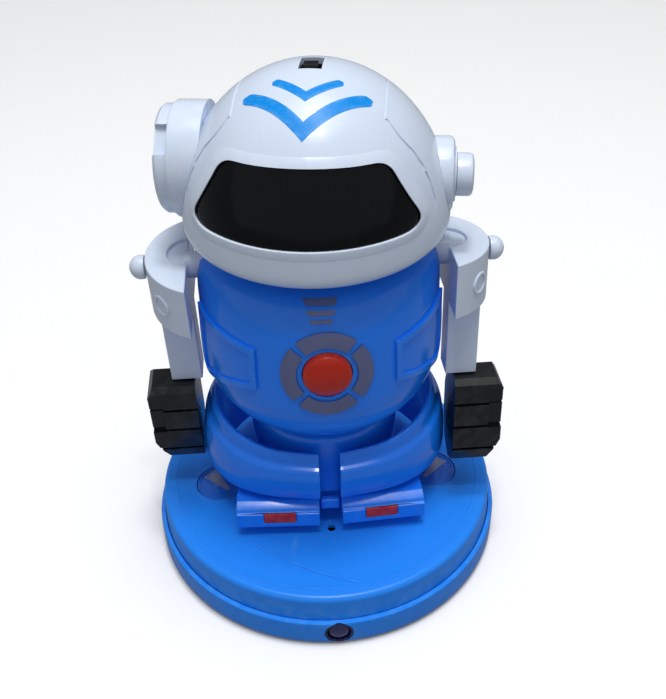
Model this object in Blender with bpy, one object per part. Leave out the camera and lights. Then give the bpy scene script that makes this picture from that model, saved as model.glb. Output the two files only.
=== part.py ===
"""Toy robot on a round wheeled base: every piece is its own closed solid.

Metres, +Z up. The robot faces -Y and its left side is +X. The origin is on the
floor, under the middle of the round base.
"""
import math
import bmesh
import bpy
from mathutils import Matrix, Vector

MM = 0.001
GAP = 0.3 * MM                      # air left between two touching pieces

# round base
BASE_R = 72.5 * MM
BAND_R = 70.3 * MM
PAN_BOTTOM = 1.0 * MM
PAN_TOP = 12.7 * MM
PLATE_TOP = 24.2 * MM
WALL = 1.8 * MM
FLOOR_TOP = 3.0 * MM
WINDOW_R = 10.5 * MM
WINDOW_XY = (45.2 * MM, -5.0 * MM)
LAMP_Z = 6.9 * MM
LAMP_R = 4.3 * MM
SIGHT_HOLE_Y = -34.7 * MM
SCREW_XY = ((43.0 * MM, 45.0 * MM), (60.0 * MM, -12.0 * MM))

# batteries
CELL_R = 7.25 * MM
CELL_LENGTH = 50.5 * MM
CELL_PITCH = 15.5 * MM
CELL_Y = -35.5 * MM
CELL_Z = 11.3 * MM
DOOR_X = 58.0 * MM
DOOR_Y = 49.0 * MM

# drive bogie and rollers
BOGIE_Y = 26.0 * MM
BOGIE_R = 24.6 * MM
WHEEL_R = 11.0 * MM
WHEEL_WIDTH = 4.8 * MM
WHEEL_X = 13.0 * MM
AXLE_R = 1.5 * MM
TOOTH_MODULE = 0.6 * MM
GEAR_TEETH = 24
PINION_TEETH = 8
MESH_PLAY = 0.2 * MM
GEAR_X = (5.0 * MM, 7.6 * MM)
ROLLER_R = 4.5 * MM
ROLLER_XY = (46.0 * MM, -36.0 * MM)

# legs
PELVIS_R = 29.5 * MM
PELVIS_TOP = 68.0 * MM
THIGH_START = 6.5                   # degrees from the front
THIGH_END = 138.0
THIGH_GAP_X = 4.0 * MM
FOOT_INNER_X = 4.6 * MM
FOOT_OUTER_X = 37.4 * MM
FOOT_FRONT_Y = -38.0 * MM
FOOT_SWEEP = 3.0                    # degrees, outer end swept back

# torso
TORSO_BOTTOM = 70.5 * MM
TORSO_WALL = 2.2 * MM
TORSO_OUTLINE = (                   # radius and height of the outer skin, from the bottom up
    (24.0, 70.5), (31.0, 72.6), (36.5, 76.6), (40.4, 81.4), (43.2, 87.4), (44.6, 94.5),
    (44.8, 103.0), (44.5, 114.0), (43.3, 123.0), (40.6, 130.0), (35.5, 134.2), (28.0, 136.0))
TORSO_FLATTER = 0.07                # share of depth lost at the shoulders, front and back
TORSO_WIDTH = (                     # half width and height of the sides, which stay upright to the shoulders
    (44.5, 114.0), (44.4, 123.0), (44.0, 130.0), (42.6, 134.2), (39.5, 136.0))
CHEST_Z = 110.0 * MM
RING_OUTER = 16.0 * MM
RING_INNER = 10.1 * MM
BUTTON_R = 8.5 * MM
BUTTON_TRAVEL = 1.5 * MM

# arms
SHOULDER_Z = 130.5 * MM
SHOULDER_X = 38.0 * MM              # middle of the round shoulder
SHOULDER_R = 24.0 * MM
SHOULDER_LOW = -16.6 * MM           # from the swing axis
SHOULDER_HIGH = 4.8 * MM
ARM_INNER_X = 46.8 * MM
ARM_REST_SWING = 5.0                # degrees: right arm back, left arm forward
STUB_R = 4.0 * MM
LIMB_X = (46.8 * MM, 58.8 * MM)
HAND_X = (49.9 * MM, 68.8 * MM)

# head
HEAD_TURN = -9.0                    # degrees about +Z at rest
HEAD_R = 46.5 * MM
HEAD_Z = 150.0 * MM                 # height of the widest part
HEAD_UP = 51.8 * MM
HEAD_DOWN = 12.9 * MM
HEAD_WALL = 2.2 * MM
HEAD_SPLIT_Y = 10.0 * MM
NECK_HOLE_R = 8.0 * MM
EAR_Y = 3.0 * MM
EAR_DRUM_Z = 167.0 * MM
EAR_BOSS_Z = 163.0 * MM
SLOT_X = 7.4 * MM
SLOT_Y = (-4.0 * MM, 7.0 * MM)

PLASTIC_BLUE = (0.02, 0.13, 0.62)
PLATE_BLUE = (0.03, 0.21, 0.80)
WHITE = (0.80, 0.84, 0.90)
BLACK = (0.012, 0.012, 0.014)
GREY = (0.30, 0.31, 0.36)
ORANGE = (0.55, 0.06, 0.02)
STEEL = (0.55, 0.55, 0.57)


def material(name, colour, roughness, metallic=0.0):
    mat = bpy.data.materials.get(name)
    if mat is None:
        mat = bpy.data.materials.new(name)
        mat.use_nodes = True
        shader = mat.node_tree.nodes["Principled BSDF"]
        shader.inputs["Base Color"].default_value = (*colour, 1.0)
        shader.inputs["Roughness"].default_value = roughness
        shader.inputs["Metallic"].default_value = metallic
    return mat


def empty(name, location, rotation=(0, 0, 0), parent=None):
    obj = bpy.data.objects.new(name, None)
    bpy.context.scene.collection.objects.link(obj)
    obj.location = location
    obj.rotation_euler = [math.radians(angle) for angle in rotation]
    obj.parent = parent
    return obj


def piece(name, bm, mat, location=(0, 0, 0), rotation=(0, 0, 0), parent=None, smooth=40):
    """A named object from a bmesh, with outward faces and smooth round parts."""
    bmesh.ops.recalc_face_normals(bm, faces=bm.faces)
    mesh = bpy.data.meshes.new(name)
    bm.to_mesh(mesh)
    bm.free()
    mesh.shade_smooth()
    mesh.set_sharp_from_angle(angle=math.radians(smooth))
    obj = bpy.data.objects.new(name, mesh)
    bpy.context.scene.collection.objects.link(obj)
    obj.location = location
    obj.rotation_euler = [math.radians(angle) for angle in rotation]
    obj.parent = parent
    if mat is not None:
        mesh.materials.append(mat)
    return obj


def cutter(name, bm, location=(0, 0, 0), rotation=(0, 0, 0), parent=None):
    obj = piece(name, bm, None, location, rotation, parent)
    obj.hide_render = True
    obj.display_type = 'WIRE'
    return obj


def boolean(obj, tool, operation='DIFFERENCE'):
    mod = obj.modifiers.new(tool.name, 'BOOLEAN')
    mod.object = tool
    mod.operation = operation
    mod.solver = 'EXACT'


def lathe(outline, steps, along='Z'):
    """Turn a closed outline of (radius, height) pairs about an axis."""
    bm = bmesh.new()
    rings = []
    for radius, height in outline:
        if radius < 1e-9:
            rings.append([bm.verts.new((0, 0, height))] * steps)
            continue
        ring = []
        for step in range(steps):
            angle = math.tau * step / steps
            ring.append(bm.verts.new((radius * math.cos(angle), radius * math.sin(angle), height)))
        rings.append(ring)
    count = len(rings)
    for index in range(count):
        low = rings[index]
        high = rings[(index + 1) % count]
        for step in range(steps):
            after = (step + 1) % steps
            corners = []
            for vert in (low[step], low[after], high[after], high[step]):
                if vert not in corners:
                    corners.append(vert)
            if len(corners) > 2:
                bm.faces.new(corners)
    if along == 'X':
        bmesh.ops.rotate(bm, verts=bm.verts, matrix=Matrix.Rotation(math.pi / 2, 3, 'Y'))
    if along == 'Y':
        bmesh.ops.rotate(bm, verts=bm.verts, matrix=Matrix.Rotation(math.pi / 2, 3, 'X'))
    return bm


def rod(radius, length, steps=16, along='Z'):
    half = length / 2
    return lathe([(0, -half), (radius, -half), (radius, half), (0, half)], steps, along)


def tube(outer, inner, length, steps=20, along='Z'):
    half = length / 2
    return lathe([(inner, -half), (outer, -half), (outer, half), (inner, half)], steps, along)


def block(size, bevel=0.0):
    bm = bmesh.new()
    bmesh.ops.create_cube(bm, size=1.0)
    bmesh.ops.scale(bm, verts=bm.verts, vec=size)
    if bevel:
        bmesh.ops.bevel(bm, geom=bm.edges[:], offset=bevel, segments=1, affect='EDGES')
    return bm


def prism(outline, low, high, along='Z'):
    """Extrude a closed outline. Along X the outline is (y, z), along Y it is (x, z)."""
    order = {'Z': lambda a, b, c: (a, b, c), 'X': lambda a, b, c: (c, a, b), 'Y': lambda a, b, c: (a, c, b)}
    place = order[along]
    bm = bmesh.new()
    bottom = [bm.verts.new(place(a, b, low)) for a, b in outline]
    top = [bm.verts.new(place(a, b, high)) for a, b in outline]
    bm.faces.new(bottom)
    bm.faces.new(top)
    for index in range(len(outline)):
        after = (index + 1) % len(outline)
        bm.faces.new((bottom[index], bottom[after], top[after], top[index]))
    return bm


def bevel_edges(bm, width, segments=1, smallest=30):
    """Round the edges that are sharper than the smallest angle."""
    bmesh.ops.recalc_face_normals(bm, faces=bm.faces)
    sharp = [edge for edge in bm.edges if edge.calc_face_angle(0) > math.radians(smallest)]
    bmesh.ops.bevel(bm, geom=sharp, offset=width, segments=segments, affect='EDGES')


def sides():
    """The two sides of the body, as the robot has them: left is +X."""
    return (("left", 1.0), ("right", -1.0))


def offset_outline(outline, wall):
    """The inner skin that goes with an outer outline of (radius, height) pairs."""
    inner = []
    for index, (radius, height) in enumerate(outline):
        before = outline[max(index - 1, 0)]
        after = outline[min(index + 1, len(outline) - 1)]
        run = Vector((after[0] - before[0], after[1] - before[1])).normalized()
        inner.append((radius - run.y * wall, height + run.x * wall))
    return inner


# ---------------------------------------------------------------- base shells
def make_base(mats, root):
    lip_low = PAN_TOP - 1.0 * MM
    top_shell = piece("base_top_shell", lathe([
        (0, PLATE_TOP), (66.8 * MM, PLATE_TOP), (69.3 * MM, PLATE_TOP - 1.2 * MM),
        (BAND_R, PLATE_TOP - 3.4 * MM), (BAND_R, lip_low), (BAND_R - WALL, lip_low),
        (BAND_R - WALL, PLATE_TOP - 4.0 * MM), (66.0 * MM, PLATE_TOP - WALL), (0, PLATE_TOP - WALL)],
        40), mats["plate"], parent=root)
    pan = piece("base_bottom_shell", lathe([
        (0, PAN_BOTTOM), (71.3 * MM, PAN_BOTTOM), (BASE_R, 2.4 * MM), (BASE_R, PAN_TOP),
        (BAND_R + GAP, PAN_TOP), (BAND_R + GAP, FLOOR_TOP), (0, FLOOR_TOP)],
        40), mats["blue"], parent=root)
    deep = 12 * MM
    boolean(pan, cutter("cut_bogie_hole", rod(BOGIE_R + 0.5 * MM, deep, 32), (0, BOGIE_Y, 0), parent=root))
    boolean(pan, cutter("cut_door_hole", block((DOOR_X, DOOR_Y, deep)), (0, CELL_Y, 0), parent=root))
    boolean(pan, cutter("cut_lamp_hole", rod(LAMP_R + GAP, 14 * MM, 16, 'Y'), (0, -BASE_R, LAMP_Z), parent=root))
    boolean(top_shell, cutter("cut_sight_hole", rod(1.7 * MM, deep, 12), (0, SIGHT_HOLE_Y, PLATE_TOP), (0, 0, 7), root))
    for side, sign in sides():
        place = (sign * ROLLER_XY[0], ROLLER_XY[1], 0)
        boolean(pan, cutter("cut_roller_" + side, block((13 * MM, 11 * MM, deep)), place, parent=root))
        place = (sign * WINDOW_XY[0], WINDOW_XY[1], PLATE_TOP)
        boolean(top_shell, cutter("cut_window_" + side, rod(WINDOW_R, deep, 28), place, parent=root))
        window = lathe([(0, 22.6 * MM), (WINDOW_R - GAP, 22.6 * MM), (WINDOW_R - GAP, 23.9 * MM),
                        (9.3 * MM, 24.0 * MM), (0, 24.2 * MM)], 28)
        piece("window_lens_" + side, window, mats["lens"], (sign * WINDOW_XY[0], WINDOW_XY[1], 0), parent=root)
        for row, (x, y) in enumerate(SCREW_XY):
            name = "%s_%d" % (side, row + 1)
            place = (sign * x, y, 0)
            boolean(pan, cutter("cut_screw_" + name, rod(3.0 * MM, deep, 12), place, parent=root))
            screw = lathe([(0, 1.3 * MM), (2.6 * MM, 1.3 * MM), (2.6 * MM, 2.8 * MM), (1.2 * MM, 3.3 * MM),
                           (1.2 * MM, 16.0 * MM), (0, 16.8 * MM)], 10)
            piece("base_screw_" + name, screw, mats["steel"], place, parent=root)
    lens = lathe([(0, 69.5 * MM), (LAMP_R, 69.5 * MM), (LAMP_R, 71.2 * MM), (3.4 * MM, 72.0 * MM),
                  (1.8 * MM, 72.4 * MM), (0, BASE_R)], 16, 'Y')
    piece("headlamp_lens", lens, mats["lens"], (0, 0, LAMP_Z), parent=root)
    speaker = lathe([(0, 4.0 * MM), (12 * MM, 4.0 * MM), (12 * MM, 6.5 * MM), (7 * MM, 8.0 * MM),
                     (7 * MM, 11 * MM), (0, 11 * MM)], 20)
    piece("speaker", speaker, mats["steel"], (-44 * MM, 28 * MM, 0), parent=root)
    piece("circuit_board", block((20 * MM, 24 * MM, 1.6 * MM)), mats["board"], (41 * MM, 28 * MM, 9 * MM), parent=root)
    retainer = lathe([(23.5 * MM, FLOOR_TOP + GAP), (28.5 * MM, FLOOR_TOP + GAP),
                      (28.5 * MM, FLOOR_TOP + WALL), (23.5 * MM, FLOOR_TOP + WALL)], 32)
    piece("bogie_retainer", retainer, mats["black"], (0, BOGIE_Y, 0), parent=root)


def make_batteries(mats, root):
    for index in range(3):
        y = CELL_Y + (index - 1) * CELL_PITCH
        half = CELL_LENGTH / 2
        pip = 2.6 * MM
        cell = lathe([(0, -half), (CELL_R, -half), (CELL_R, half - 1.2 * MM), (pip, half - 1.2 * MM),
                      (pip, half), (0, half)], 20, 'X')
        turn = 180 * (index % 2)
        piece("battery_cell_%d" % (index + 1), cell, mats["cell"], (0, y, CELL_Z), (0, 0, turn), root)
    for side, sign in sides():
        plate = block((0.6 * MM, 44 * MM, 12 * MM))
        place = (sign * (CELL_LENGTH / 2 + 1.0 * MM), CELL_Y, CELL_Z)
        piece("contact_plate_" + side, plate, mats["steel"], place, parent=root)
    door_pull = empty("door_pull", (0, CELL_Y, 0), parent=root)
    door = piece("battery_door", block((DOOR_X - 2 * GAP, DOOR_Y - 2 * GAP, 1.8 * MM)),
                 mats["blue"], (0, 0, PAN_BOTTOM + 0.9 * MM), parent=door_pull)
    screw_y = DOOR_Y / 2 - 5 * MM
    boolean(door, cutter("cut_door_screw", rod(2.6 * MM, 8 * MM, 12), (0, screw_y, 0), parent=door_pull))
    screw = lathe([(0, 1.2 * MM), (2.2 * MM, 1.2 * MM), (2.2 * MM, 2.5 * MM), (0, 2.5 * MM)], 10)
    piece("battery_door_screw", screw, mats["steel"], (0, screw_y, 0), parent=door_pull)


# ---------------------------------------------------------------- drive
def gear_outline(teeth):
    """Outline of a spur gear whose first tooth points along the first axis."""
    pitch = teeth * TOOTH_MODULE / 2
    root = pitch - 1.25 * TOOTH_MODULE
    tip = pitch + TOOTH_MODULE * 0.9
    points = []
    for tooth in range(teeth):
        middle = math.tau * tooth / teeth
        for radius, half_width in ((root, -0.42), (tip, -0.16), (tip, 0.16), (root, 0.42)):
            angle = middle + half_width * MM / radius
            points.append((radius * math.cos(angle), radius * math.sin(angle)))
    return points


def gear(teeth, bore, low, high):
    """A spur gear on an X axle, with a round bore."""
    outline = gear_outline(teeth)
    if not bore:
        return prism(outline, low, high, 'X')
    bm = bmesh.new()
    loops = []
    for x in (low, high):
        outer = [bm.verts.new((x, y, z)) for y, z in outline]
        inner = []
        for y, z in outline:
            angle = math.atan2(z, y)
            inner.append(bm.verts.new((x, bore * math.cos(angle), bore * math.sin(angle))))
        loops.append((outer, inner))
    (outer_low, inner_low), (outer_high, inner_high) = loops
    count = len(outline)
    for index in range(count):
        after = (index + 1) % count
        bm.faces.new((outer_low[index], outer_low[after], outer_high[after], outer_high[index]))
        bm.faces.new((inner_low[index], inner_low[after], inner_high[after], inner_high[index]))
        bm.faces.new((outer_low[index], outer_low[after], inner_low[after], inner_low[index]))
        bm.faces.new((outer_high[index], outer_high[after], inner_high[after], inner_high[index]))
    return bm


def make_drive(mats, root):
    bogie = empty("bogie_swivel", (0, BOGIE_Y, 0), parent=root)
    plate = piece("bogie_plate", lathe([(0, 1.2 * MM), (BOGIE_R, 1.2 * MM), (BOGIE_R, FLOOR_TOP), (0, FLOOR_TOP)], 32),
                  mats["black"], parent=bogie)
    boolean(plate, cutter("cut_wheel_window", block((33 * MM, 23.2 * MM, 12 * MM)), parent=bogie))
    wall_x = 9.6 * MM
    inner_x = 8.6 * MM
    low = FLOOR_TOP + GAP
    roof = 22.0 * MM
    under = 20.9 * MM
    frame = prism([(-wall_x, low), (-wall_x, roof), (wall_x, roof), (wall_x, low), (inner_x, low),
                   (inner_x, under), (-inner_x, under), (-inner_x, low)], -14 * MM, 21 * MM, 'Y')
    housing = piece("gearbox_housing", frame, mats["black"], parent=bogie)
    boolean(housing, cutter("cut_axle_bore", rod(AXLE_R + GAP, 30 * MM, 16, 'X'), (0, 0, WHEEL_R), parent=bogie))
    spacing = (GEAR_TEETH + PINION_TEETH) * TOOTH_MODULE / 2 + MESH_PLAY
    can = lathe([(0, -8.2 * MM), (6 * MM, -8.2 * MM), (6 * MM, 3.5 * MM), (0, 3.5 * MM)], 20, 'X')
    piece("motor", can, mats["steel"], (0, spacing, WHEEL_R), parent=bogie)
    axle = empty("axle_spin", (0, 0, WHEEL_R), parent=bogie)
    piece("drive_axle", rod(AXLE_R, 32 * MM, 12, 'X'), mats["steel"], parent=axle)
    piece("drive_gear", gear(GEAR_TEETH, AXLE_R + GAP, *GEAR_X), mats["nylon"], parent=axle)
    for side, sign in sides():
        hub = tube(8.2 * MM, AXLE_R + GAP, WHEEL_WIDTH, 24, 'X')
        piece("drive_wheel_" + side, hub, mats["black"], (sign * WHEEL_X, 0, 0), parent=axle)
        half = WHEEL_WIDTH / 2
        tyre = lathe([(8.5 * MM, -half), (10.3 * MM, -half), (WHEEL_R, -half + 0.8 * MM),
                      (WHEEL_R, half - 0.8 * MM), (10.3 * MM, half), (8.5 * MM, half)], 24, 'X')
        piece("drive_tyre_" + side, tyre, mats["rubber"], (sign * WHEEL_X, 0, 0), parent=axle)
    pinion_spin = empty("pinion_spin", (0, spacing, WHEEL_R), parent=bogie)
    half_tooth = 180 / PINION_TEETH
    piece("motor_pinion", gear(PINION_TEETH, 0, 4.2 * MM, GEAR_X[1]), mats["nylon"],
          rotation=(180 + half_tooth, 0, 0), parent=pinion_spin)
    for side, sign in sides():
        roller = lathe([(0, -5.5 * MM), (1.2 * MM, -5.5 * MM), (1.2 * MM, -4 * MM), (3.6 * MM, -4 * MM),
                        (ROLLER_R, -2 * MM), (ROLLER_R, 2 * MM), (3.6 * MM, 4 * MM), (1.2 * MM, 4 * MM),
                        (1.2 * MM, 5.5 * MM), (0, 5.5 * MM)], 16, 'X')
        place = (sign * ROLLER_XY[0], ROLLER_XY[1], ROLLER_R)
        piece("front_roller_" + side, roller, mats["black"], place, parent=root)


# ---------------------------------------------------------------- legs
FRONT_SECTION = (                   # radius and height, from the inner bottom edge round the outside
    (30.6, 39.6), (33.2, 39.6), (36.8, 43.0), (39.3, 49.5), (40.0, 56.0), (38.8, 60.4),
    (37.2, 61.6), (36.8, 65.0), (35.3, 66.0), (34.0, 65.2))
SIDE_SECTION = (
    (44.3, 29.0), (46.9, 29.0), (48.8, 38.0), (49.4, 46.0), (49.0, 56.0), (47.2, 65.0),
    (45.6, 66.8), (44.8, 70.4), (43.0, 71.6), (41.4, 70.6))


def thigh(sign):
    """A curved shell that wraps half of the hips, as sections swept about the middle."""
    bm = bmesh.new()
    sections = []
    steps = 14
    for step in range(steps + 1):
        angle = THIGH_START + (THIGH_END - THIGH_START) * step / steps
        blend = min(max((angle - 30) / 60, 0), 1)
        blend = blend * blend * (3 - 2 * blend)
        swell = min(max((angle - 10) / 70, 0), 1)
        swell = swell * swell * (3 - 2 * swell)
        drop = min(max((angle - 67) / 24, 0), 1)
        ring = []
        for front, side in zip(FRONT_SECTION, SIDE_SECTION):
            radius = (front[0] + (side[0] - front[0]) * swell) * MM
            low = front[1] < 45
            share = drop if low else blend
            height = (front[1] + (side[1] - front[1]) * share) * MM
            turn = math.radians(angle)
            x = radius * math.sin(turn)
            if step == 0:
                x = THIGH_GAP_X
            ring.append(bm.verts.new((sign * x, -radius * math.cos(turn), height)))
        sections.append(ring)
    count = len(FRONT_SECTION)
    for near, far in zip(sections, sections[1:]):
        for index in range(count):
            after = (index + 1) % count
            bm.faces.new((near[index], near[after], far[after], far[index]))
    bm.faces.new(sections[0])
    bm.faces.new(sections[-1])
    return bm


def make_legs(mats, root):
    floor = PLATE_TOP + GAP
    piece("pelvis", lathe([
        (6.8 * MM, PELVIS_TOP - 2.5 * MM), (26 * MM, PELVIS_TOP - 2.5 * MM), (27 * MM, PELVIS_TOP - 5 * MM),
        (27 * MM, 42 * MM), (16 * MM, 41 * MM),
        (16 * MM, floor), (18.4 * MM, floor), (18.4 * MM, 39.5 * MM), (PELVIS_R, 39.5 * MM),
        (PELVIS_R, PELVIS_TOP - 3.5 * MM), (28.3 * MM, PELVIS_TOP - 1 * MM), (25.5 * MM, PELVIS_TOP),
        (6.8 * MM, PELVIS_TOP)], 24),
        mats["blue"], parent=root)
    section = ((18.4, 29.0), (0.6, 29.0), (0.0, 29.8), (0.6, 36.7), (5.4, 38.7), (18.4, 39.0))
    outline = [(y * MM, z * MM) for y, z in section]
    length = FOOT_OUTER_X - FOOT_INNER_X
    for side, sign in sides():
        piece("thigh_" + side, thigh(sign), mats["blue"], parent=root)
        ankle = empty("ankle_" + side, (sign * FOOT_INNER_X, FOOT_FRONT_Y, 0), (0, 0, sign * FOOT_SWEEP), root)
        low, high = sorted((0.0, sign * length))
        foot = piece("foot_" + side, prism(outline, low, high, 'X'), mats["blue"], parent=ankle)
        place = (sign * 15.6 * MM, 0.1 * MM, 33.9 * MM)
        recess = cutter("cut_reflector_" + side, block((13.0 * MM, 2.4 * MM, 4.8 * MM)), place, parent=ankle)
        boolean(foot, recess)
        seat = (place[0], place[1] + 0.35 * MM, place[2])
        piece("foot_reflector_" + side, block((12.4 * MM, 1.0 * MM, 4.2 * MM), 0.2 * MM), mats["orange"],
              seat, parent=ankle)
    piece("foot_bridge", block((2 * (FOOT_INNER_X - 0.8 * MM), 2.8 * MM, 5.0 * MM), 0.4 * MM), mats["blue"],
          (0, -31.4 * MM, 35.8 * MM), parent=root)


# ---------------------------------------------------------------- torso
def torso_radius(z):
    """Outer radius of the torso at a height, in metres."""
    height = z / MM
    for (r0, z0), (r1, z1) in zip(TORSO_OUTLINE, TORSO_OUTLINE[1:]):
        if z0 <= height <= z1 + 0.01:
            return (r0 + (r1 - r0) * (height - z0) / (z1 - z0)) * MM
    return 0.0


def depth_share(z):
    """Depth of the torso over its width: the chest leans back towards the shoulders."""
    share = min(max((z / MM - 92) / 38, 0), 1)
    return 1 - TORSO_FLATTER * share


def width_share(z):
    """Width of the torso over its turned outline."""
    height = z / MM
    for (half0, z0), (half1, z1) in zip(TORSO_WIDTH, TORSO_WIDTH[1:]):
        if z0 <= height <= z1 + 0.01:
            return (half0 + (half1 - half0) * (height - z0) / (z1 - z0)) * MM / torso_radius(z)
    return 1.0


def on_chest(x, z, out):
    """A point in front of the chest skin, a distance out from it."""
    radius = torso_radius(z)
    across = x / width_share(z)
    return (x, -depth_share(z) * math.sqrt(radius * radius - across * across) - out, z)


def chest_ring():
    """A flat ring laid on the curved chest, with four diagonal grooves."""
    bm = bmesh.new()
    steps = 48
    bottom_out = GAP + 0.3 * MM
    loops = []
    for step in range(steps):
        angle = math.tau * step / steps
        quarter = abs((math.degrees(angle) % 90) - 45)
        top_out = (1.6 if quarter > 5 else 1.1) * MM
        stations = []
        for radius, out in ((RING_INNER, bottom_out), (RING_OUTER, bottom_out), (RING_OUTER, top_out),
                            (RING_INNER, top_out)):
            point = on_chest(radius * math.cos(angle), CHEST_Z + radius * math.sin(angle), out)
            stations.append(bm.verts.new(point))
        loops.append(stations)
    for step in range(steps):
        near = loops[step]
        far = loops[(step + 1) % steps]
        for index in range(4):
            after = (index + 1) % 4
            bm.faces.new((near[index], near[after], far[after], far[index]))
    return bm


def make_torso(mats, root):
    torso = empty("waist_twist", (0, 0, 0), parent=root)
    outer = [(r * MM, z * MM) for r, z in TORSO_OUTLINE]
    inner = offset_outline(outer, TORSO_WALL)
    mouth = 6.4 * MM
    neck = 7.6 * MM
    skin = [(mouth, outer[0][1])] + outer + [(neck, outer[-1][1]), (neck, outer[-1][1] - TORSO_WALL)]
    skin += list(reversed(inner)) + [(mouth, outer[0][1] + TORSO_WALL)]
    big = 200 * MM
    for name, sign in (("front", 1.0), ("back", -1.0)):
        body = lathe(skin, 36)
        for vert in body.verts:
            if vert.co.xy.length > neck + GAP:
                vert.co.x *= width_share(vert.co.z)
                vert.co.y *= depth_share(vert.co.z)
        shell = piece("torso_%s_shell" % name, body, mats["blue"], parent=torso)
        away = (0, sign * (big / 2 - GAP / 2), big / 2)
        boolean(shell, cutter("cut_torso_half_" + name, block((big, big, big)), away, parent=torso))
        shafts = cutter("cut_arm_shafts_" + name, rod(STUB_R + 0.5 * MM, big, 16, 'X'), (0, 0, SHOULDER_Z), parent=torso)
        boolean(shell, shafts)
        if name == "front":
            hole = rod(BUTTON_R + GAP, 20 * MM, 28, 'Y')
            boolean(shell, cutter("cut_button_hole", hole, (0, -44 * MM, CHEST_Z), parent=torso))
    piece("chest_ring", chest_ring(), mats["grey"], parent=torso)
    press = empty("button_press", (0, 0, CHEST_Z), parent=torso)
    front = -on_chest(0, CHEST_Z, 0)[1]
    button = lathe([(0, front - 4 * MM), (BUTTON_R, front - 4 * MM), (BUTTON_R, front + 0.8 * MM),
                    (7.0 * MM, front + 1.9 * MM), (4.0 * MM, front + 2.6 * MM), (0, front + 2.9 * MM)], 28, 'Y')
    piece("chest_button", button, mats["orange"], parent=press)
    piece("button_spring", coil(3.2 * MM, 0.35 * MM, 3, 8 * MM), mats["steel"],
          (0, -front + 4 * MM + GAP + 0.4 * MM, 0), parent=press)
    seat = TORSO_BOTTOM + TORSO_WALL + 0.5 * MM
    spindle = lathe([(0, seat - 11 * MM), (6 * MM, seat - 11 * MM), (6 * MM, seat), (10 * MM, seat),
                     (10 * MM, seat + 2.8 * MM), (0, seat + 2.8 * MM)], 20)
    piece("waist_spindle", spindle, mats["white"], parent=torso)
    post = lathe([(0, 126 * MM), (11 * MM, 126 * MM), (11 * MM, 133 * MM), (7.2 * MM, 133 * MM),
                  (7.2 * MM, 140.5 * MM), (11 * MM, 140.5 * MM), (11 * MM, 142.5 * MM), (0, 142.5 * MM)], 20)
    piece("neck_post", post, mats["white"], parent=torso)
    return torso


def coil(radius, wire, turns, length):
    """An open coil spring along +Y, as a tube of five sides."""
    bm = bmesh.new()
    rings = []
    total = turns * 10
    for step in range(total + 1):
        angle = math.tau * step / 10
        middle = Vector((radius * math.cos(angle), length * step / total, radius * math.sin(angle)))
        outward = Vector((math.cos(angle), 0, math.sin(angle)))
        ring = []
        for corner in range(5):
            around = math.tau * corner / 5
            offset = outward * math.cos(around) + Vector((0, 1, 0)) * math.sin(around)
            ring.append(bm.verts.new(middle + offset * wire))
        rings.append(ring)
    for near, far in zip(rings, rings[1:]):
        for corner in range(5):
            after = (corner + 1) % 5
            bm.faces.new((near[corner], near[after], far[after], far[corner]))
    bm.faces.new(rings[0])
    bm.faces.new(rings[-1])
    return bm


# ---------------------------------------------------------------- arms
def shoulder_plan(sign):
    """Plan outline of the shoulder: a round drum cut flat where it faces the body."""
    start = math.acos((ARM_INNER_X - SHOULDER_X) / SHOULDER_R)
    steps = 18
    points = []
    for step in range(steps + 1):
        angle = -start + 2 * start * step / steps
        x = SHOULDER_X + SHOULDER_R * math.cos(angle)
        points.append((sign * x, SHOULDER_R * math.sin(angle)))
    return points


def make_arms(mats, torso):
    for side, sign in sides():
        swing = empty("shoulder_swing_" + side, (0, 0, SHOULDER_Z), (-sign * ARM_REST_SWING, 0, 0), torso)
        drum = prism(shoulder_plan(sign), SHOULDER_LOW, SHOULDER_HIGH)
        bevel_edges(drum, 1.2 * MM, 1, 50)
        arm = piece("arm_" + side, drum, mats["white"], parent=swing)
        limb = block((LIMB_X[1] - LIMB_X[0], 11 * MM, 38 * MM), 1.5 * MM)
        place = (sign * (LIMB_X[0] + LIMB_X[1]) / 2, -3.5 * MM, -29.5 * MM)
        boolean(arm, cutter("add_limb_" + side, limb, place, parent=swing), 'UNION')
        shaft = rod(STUB_R, 12 * MM, 16, 'X')
        boolean(arm, cutter("add_shaft_" + side, shaft, (sign * 42 * MM, 0, 0), parent=swing), 'UNION')
        low = SHOULDER_X + SHOULDER_R + GAP + 0.2 * MM
        cap = lathe([(0, low), (4.4 * MM, low), (4.4 * MM, low + 2.2 * MM), (3.2 * MM, low + 4.6 * MM),
                     (0, low + 5.6 * MM)], 16, 'X')
        piece("shoulder_cap_" + side, cap, mats["white"], rotation=(0, 0, 0 if sign > 0 else 180), parent=swing)
        section = ((-12.3, -49.0), (-1.5, -49.0), (3.5, -54.5), (6.5, -62.0), (6.5, -77.0), (2.5, -87.0),
                   (-6.0, -91.0), (-13.5, -87.0), (-15.0, -82.5), (-13.4, -81.5), (-13.4, -80.5), (-15.3, -79.5),
                   (-15.3, -71.5), (-13.6, -70.6), (-13.6, -69.6), (-15.3, -68.6), (-15.3, -60.8), (-13.6, -60.0),
                   (-13.6, -59.0), (-15.0, -58.0), (-14.6, -51.0))
        outline = [(y * MM, z * MM) for y, z in section]
        low, high = sorted((sign * HAND_X[0], sign * HAND_X[1]))
        hand = piece("hand_" + side, prism(outline, low, high, 'X'), mats["black"], parent=swing)
        front = ((45.0, -45.0), (64.5, -45.0), (68.8, -53.0), (68.8, -77.0), (61.5, -93.0), (45.0, -93.0))
        outline = [(sign * x * MM, z * MM) for x, z in front]
        boolean(hand, cutter("keep_hand_" + side, prism(outline, -20 * MM, 10 * MM, 'Y'), parent=swing), 'INTERSECT')


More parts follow.
